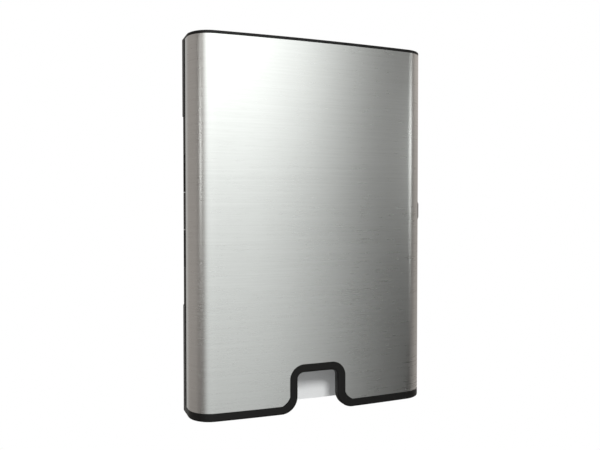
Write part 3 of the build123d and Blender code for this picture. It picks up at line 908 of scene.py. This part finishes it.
@dataclass
class HangingTowel:
    """The towel whose edge hangs out of the slot behind the notch."""

    columns: int = 96
    rows: int = 36
    ripple: float = 1.7 * MM
    wave_counts: Span = (1.3, 3.1)
    wave_starts: Span = (0.12, 0.4)
    wave_shares: Span = (1.0, 0.4)
    curl: float = 2.2 * MM
    ply: float = 0.22 * MM

    def build(self) -> bpy.types.Object:
        """Model the paper from an upright grid that ripples more towards its free edge.

        Returns:
            The sheet of paper.
        """
        low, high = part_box("hanging_towel")
        self.width, self.length = high.x - low.x, high.z - low.z
        bpy.ops.object.select_all(action="DESELECT")
        bpy.ops.mesh.primitive_grid_add(
            x_subdivisions=self.columns, y_subdivisions=self.rows, size=1, location=(low + high) / 2
        )
        paper = bpy.context.active_object
        paper.scale = (self.width, self.length, 1)
        paper.rotation_euler = (math.pi / 2, 0, 0)
        paper = name_piece("hanging_paper")
        for point in paper.data.vertices:
            hang = (high.z - point.co.z) / self.length
            point.co.y += self.wave(point.co.x / self.width, hang)
        apply_modifier(paper, "SOLIDIFY", thickness=self.ply, offset=0.0)
        smooth(paper, 50)
        return paper

    def wave(self, along: float, hang: float) -> float:
        """How far the paper stands off its plane.

        Args:
            along: The place along the towel's width, from -0.5 to 0.5.
            hang: The share of the way down from the slot.

        Returns:
            The distance towards the wall.
        """
        waves = zip(self.wave_counts, self.wave_starts, self.wave_shares)
        soft = sum(share * math.sin(2 * math.pi * (count * along + start)) for count, start, share in waves)
        return self.ripple * soft * hang**1.3 - self.curl * hang**3


@dataclass
class Finishes:
    """Every finish of the object, and the parts that wear it."""

    effects: Effects

    def dress(self) -> dict[str, bpy.types.Material]:
        """Make each material and put it on the parts of its slot.

        Returns:
            The materials by the name of their slot.
        """
        kinds = {
            "brushed_steel": BrushedSteel(),
            "black_plastic": MouldedPlastic(
                name="black_plastic_satin",
                colour=(0.0075, 0.0072, 0.007),
                worn=(0.03, 0.029, 0.028),
                gloss=(0.4, 0.52),
                grain=1500.0,
                depth=0.012 * MM,
                shine=0.22,
                dust=0.03,
            ),
            "housing_plastic": MouldedPlastic(
                name="housing_plastic_matt",
                colour=(0.035, 0.035, 0.037),
                worn=(0.12, 0.12, 0.12),
                gloss=(0.5, 0.64),
                grain=900.0,
                depth=0.04 * MM,
            ),
            "inner_plastic": MouldedPlastic(
                name="inner_plastic_satin",
                colour=(0.3, 0.3, 0.295),
                worn=(0.45, 0.45, 0.44),
                gloss=(0.42, 0.56),
                grain=1100.0,
                depth=0.03 * MM,
            ),
            "paper": TowelPaper(),
            "dark_steel": PlatedMetal(
                name="hinge_coat",
                colour=(0.05, 0.049, 0.047),
                worn=(0.33, 0.32, 0.3),
                gloss=(0.36, 0.5),
                metallic=0.35,
                grain=1800.0,
            ),
            "plain_steel": PlatedMetal(
                name="zinc_steel", colour=(0.6, 0.59, 0.56), worn=(0.75, 0.74, 0.72), gloss=(0.28, 0.45)
            ),
            "screw_steel": PlatedMetal(
                name="screw_steel", colour=(0.5, 0.5, 0.49), worn=(0.7, 0.7, 0.68), gloss=(0.25, 0.4)
            ),
            "lock_metal": PlatedMetal(
                name="lock_nickel", colour=(0.62, 0.6, 0.56), worn=(0.8, 0.79, 0.76), gloss=(0.14, 0.28)
            ),
        }
        made = {slot: kind.make(self.effects) for slot, kind in kinds.items()}
        for node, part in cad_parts.items():
            for holder in part.material_slots:
                slot = holder.material.name.split(".")[0]
                if slot in made:
                    holder.material = made[slot]
                    log.info("%s wears %s", node, made[slot].name)
        return made


def mount_piece(
    piece: bpy.types.Object, node: str, body: Body, slot: str, materials: dict[str, bpy.types.Material]
) -> None:
    """Put a modelled piece in the place of a CAD node, with its finish.

    Args:
        piece: The piece.
        node: The node that it stands for.
        body: The body that it moves with.
        slot: The record's material slot.
        materials: The materials by slot.
    """
    piece.data.materials.clear()
    piece.data.materials.append(materials[slot])
    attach(piece, body.value)
    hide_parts(node)
    log.info("%s stands for %s: %d faces", piece.name, node, len(piece.data.polygons))


# Studio


def way_to(turn: float, rise: float) -> Vector:
    """The way from the object to a thing in the studio.

    Args:
        turn: The thing's angle round from the front towards the right, in degrees.
        rise: Its angle above the level, in degrees.

    Returns:
        The way, with a length of 1.
    """
    turn, rise = math.radians(turn), math.radians(rise)
    return Vector((math.sin(turn) * math.cos(rise), -math.cos(turn) * math.cos(rise), math.sin(rise)))


def seen_directly(tree: Tree) -> bpy.types.NodeSocket:
    """A mask that is 1 for what the camera sees, plainly or through glass.

    Args:
        tree: The tree that the mask is for.

    Returns:
        The mask.
    """
    path = tree.add("LightPath")
    return tree.math("MAXIMUM", path.outputs["Is Camera Ray"], path.outputs["Is Transmission Ray"])


@dataclass(frozen=True)
class Softbox:
    """A soft rectangular lamp that faces the object. The metal mirrors the room where it stands."""

    name: str = "key_softbox"
    turn: float = -8.0
    rise: float = 26.0
    distance: float = 2.4
    size: Span = (0.5, 0.45)
    power: float = 34.0

    def build(self) -> None:
        """Add the lamp."""
        lamp = bpy.data.lights.new(self.name, "AREA")
        lamp.shape = "RECTANGLE"
        lamp.size, lamp.size_y = self.size
        lamp.energy = self.power
        holder = bpy.data.objects.new(self.name, lamp)
        way = way_to(self.turn, self.rise)
        holder.location = self.distance * way
        holder.rotation_euler = way.to_track_quat("Z", "Y").to_euler()
        holder.visible_glossy = False
        holder.visible_camera = False
        bpy.context.scene.collection.objects.link(holder)


@dataclass(frozen=True)
class Viewpoint:
    """Where the photograph was taken from, a little to the left of the object."""

    place: tuple[float, float, float] = (-296.8 * MM, -813.6 * MM, 21.5 * MM)
    turn: float = -21.146
    rise: float = 1.366
    lens: float = 38.73
    sensor: float = 36.0
    shift: Span = (-0.0027, -0.0019)

    def build(self, scene: bpy.types.Scene) -> None:
        """Add the camera.

        Args:
            scene: The scene.
        """
        lens = bpy.data.cameras.new("camera")
        lens.lens = self.lens
        lens.sensor_width = self.sensor
        lens.shift_x, lens.shift_y = self.shift
        camera = bpy.data.objects.new("camera", lens)
        camera.location = self.place
        camera.rotation_euler = way_to(self.turn, self.rise).to_track_quat("Z", "Y").to_euler()
        scene.collection.objects.link(camera)
        scene.camera = camera


@dataclass(frozen=True)
class MirroredRoom:
    """The studio that the metal mirrors: walls all round, a softbox in front and a strip at each side.

    All angles are in degrees, round from the front towards the right and up from the level.
    """

    dim_tint: Colour = (1.08, 1.0, 0.935)
    bright_tint: Colour = (0.975, 1.0, 0.98)
    dim_below: float = 0.5
    back_wall: float = 0.6
    side_wall: float = 0.4
    side_reach: Span = (90.0, 150.0)
    panel: Span = (-30.0, 15.0)
    panel_level: float = 0.95
    panel_fade: Span = (25.0, 20.0)
    gap_width: Span = (15.0, 10.0)
    gap_level: Span = (0.25, 0.05)
    strips: Levels = (
        (-69, 0.0), (-65, 1.0), (-61, 1.0), (-57, 0.0), (38.5, 0.0), (43, 0.8), (54, 1.0), (62, 0.0),
    )
    strip_glow: float = 6.2
    strip_foot: Span = (1.0, 6.0)
    strip_head: Span = (5.0, 10.0)
    softbox_left: Span = (-75.0, -48.0)
    softbox_right: Span = (22.0, 38.0)
    softbox_spill: float = 0.3
    softbox_rise: Span = (-1.0, 15.0)
    softbox_glow: float = 1.6
    ceiling: Span = (21.0, 40.0)
    ceiling_level: float = 0.25
    ground: Span = (-30.0, -14.0)
    ground_level: float = 0.3

    def glow(self, tree: Tree) -> bpy.types.NodeSocket:
        """Work out how bright the room looks in each direction.

        In front of the object it grows brighter with height, as a wide softbox does that hangs at the
        height of the eyes, and it fades towards the ceiling and the ground.

        Args:
            tree: The world's tree.

        Returns:
            The colour that the metal mirrors.
        """
        direction = tree.add("SeparateXYZ", vector=tree.add("TexCoord").outputs["Generated"])
        ahead = tree.math("MULTIPLY", direction.outputs[1], -1.0)
        turn = tree.math("DEGREES", tree.math("ARCTAN2", direction.outputs[0], ahead))
        rise = tree.math("DEGREES", tree.math("ARCSINE", direction.outputs[2]))
        from_left = tree.spread(turn, self.softbox_left)
        from_right = tree.spread(turn, self.softbox_right, (1.0, self.softbox_spill))
        softbox = tree.ease(rise, self.softbox_rise, (0.0, self.softbox_glow))
        softbox = tree.math("MULTIPLY", softbox, tree.math("MULTIPLY", from_left, from_right))
        ceiling = tree.ease(rise, self.ceiling, (1.0, self.ceiling_level))
        ground = tree.ease(rise, self.ground, (self.ground_level, 1.0))
        level = tree.math("MULTIPLY", ceiling, ground)
        level = tree.math("MULTIPLY", tree.math("ADD", softbox, 1.0), level)
        band = tree.ease(rise, self.strip_head, (self.strip_glow, 0.0))
        band = tree.math("MULTIPLY", band, tree.ease(rise, self.strip_foot))
        both = tree.add("VectorMath", operation="ADD")
        tree.feed(both.inputs[0], tree.scaled(self.ring(tree, turn, self.walls()), level))
        tree.feed(both.inputs[1], tree.scaled(self.ring(tree, turn, self.strips), band))
        return both.outputs[0]

    def walls(self) -> Levels:
        """Lay out the walls: a bright panel in front with a dark gap at each side, and plain walls behind.

        Returns:
            The brightness at each angle where it starts or stops changing.
        """
        near, far = self.side_reach
        left = self.panel[0] - self.panel_fade[0]
        right = self.panel[1] + self.panel_fade[1]
        return (
            (-180.0, self.back_wall), (-far, self.side_wall), (-near, self.side_wall),
            (left - self.gap_width[0], self.gap_level[0]), (left, self.gap_level[0]),
            (self.panel[0], self.panel_level), (self.panel[1], self.panel_level),
            (right, self.gap_level[1]), (right + self.gap_width[1], self.gap_level[1]),
            (near, self.side_wall), (far, self.side_wall), (180.0, self.back_wall),
        )

    def ring(self, tree: Tree, turn: bpy.types.NodeSocket, levels: Levels) -> bpy.types.NodeSocket:
        """Add a ring of brightness that runs once round the object.

        Args:
            tree: The world's tree.
            turn: The angle round from the front.
            levels: The brightness at some angles.

        Returns:
            The ring's colour.
        """
        node = tree.add("ValToRGB", fac=tree.spread(turn, (-180.0, 180.0)))
        stops = node.color_ramp.elements
        for index, (angle, level) in enumerate(levels):
            place = (angle + 180) / 360
            stop = stops[index] if index < 2 else stops.new(place)
            tint = self.dim_tint if level < self.dim_below else self.bright_tint
            stop.position = place
            stop.color = (*(level * part for part in tint), 1.0)
        return node.outputs[0]


@dataclass
class Studio:
    """The pale room, its lamp, its floor and the camera."""

    floor_level: float = -1.25
    floor_reach: float = 9.0
    floor_colour: Colour = (0.82, 0.82, 0.82)
    floor_fade: Span = (1.0, 2.1)
    soft_light: float = 0.44

    def build(self) -> None:
        """Set up everything round the object."""
        scene = bpy.context.scene
        scene.view_settings.view_transform = "Standard"
        self.room(scene)
        self.floor()
        Softbox().build()
        Viewpoint().build(scene)

    def room(self, scene: bpy.types.Scene) -> None:
        """Surround the object with a white backdrop, even soft light, and the room that the metal mirrors.

        Args:
            scene: The scene.
        """
        world = bpy.data.worlds.new("pale_room")
        scene.world = world
        world.use_nodes = True
        tree = Tree(world.node_tree)
        mirrored = tree.add("Background", color=MirroredRoom().glow(tree), strength=1.0)
        even = tree.add("Background", color=(1.0, 1.0, 1.0), strength=self.soft_light)
        white = tree.add("Background", color=(1.0, 1.0, 1.0), strength=1.0)
        glossy = tree.add("LightPath").outputs["Is Glossy Ray"]
        lit = tree.mix_shaders(glossy, even.outputs[0], mirrored.outputs[0])
        tree.add("OutputWorld", surface=tree.mix_shaders(seen_directly(tree), lit, white.outputs[0]))

    def floor(self) -> None:
        """Lay a pale floor well below the object, which hangs at the height of a hand."""
        bpy.ops.object.select_all(action="DESELECT")
        bpy.ops.mesh.primitive_plane_add(size=2 * self.floor_reach, location=(0, 0, self.floor_level))
        floor = name_piece("studio_floor")
        material, tree, shader = new_material("pale_floor")
        away = tree.add("VectorMath", operation="LENGTH")
        tree.feed(away.inputs[0], tree.add("TexCoord").outputs["Object"])
        far = tree.spread(away.outputs["Value"], self.floor_fade)
        shader.inputs["Base Color"].default_value = (*self.floor_colour, 1.0)
        shader.inputs["Roughness"].default_value = 0.8
        glow = tree.add("Emission", color=(1.0, 1.0, 1.0), strength=1.0)
        glowing = tree.math("MULTIPLY", seen_directly(tree), far)
        output = next(node for node in tree.tree.nodes if node.type == "OUTPUT_MATERIAL")
        mixed = tree.mix_shaders(glowing, shader.outputs[0], glow.outputs[0])
        tree.feed(output.inputs["Surface"], mixed)
        floor.data.materials.append(material)
        floor.visible_glossy = False


def main() -> None:
    """Build the pieces, dress the object and set up the studio."""
    logging.basicConfig(level=logging.INFO, format="%(message)s")
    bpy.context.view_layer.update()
    materials = Finishes(Effects()).dress()
    mount_piece(SteelSkin().build(), "steel_front", Body.DOOR, "brushed_steel", materials)
    mount_piece(TowelStack().build(), "towel_stack", Body.HOUSING, "paper", materials)
    towel = HangingTowel()
    paper = towel.build()
    mount_piece(paper, "hanging_towel", Body.HOUSING, "paper", materials)
    Studio().build()


if __name__ == "__main__":
    main()
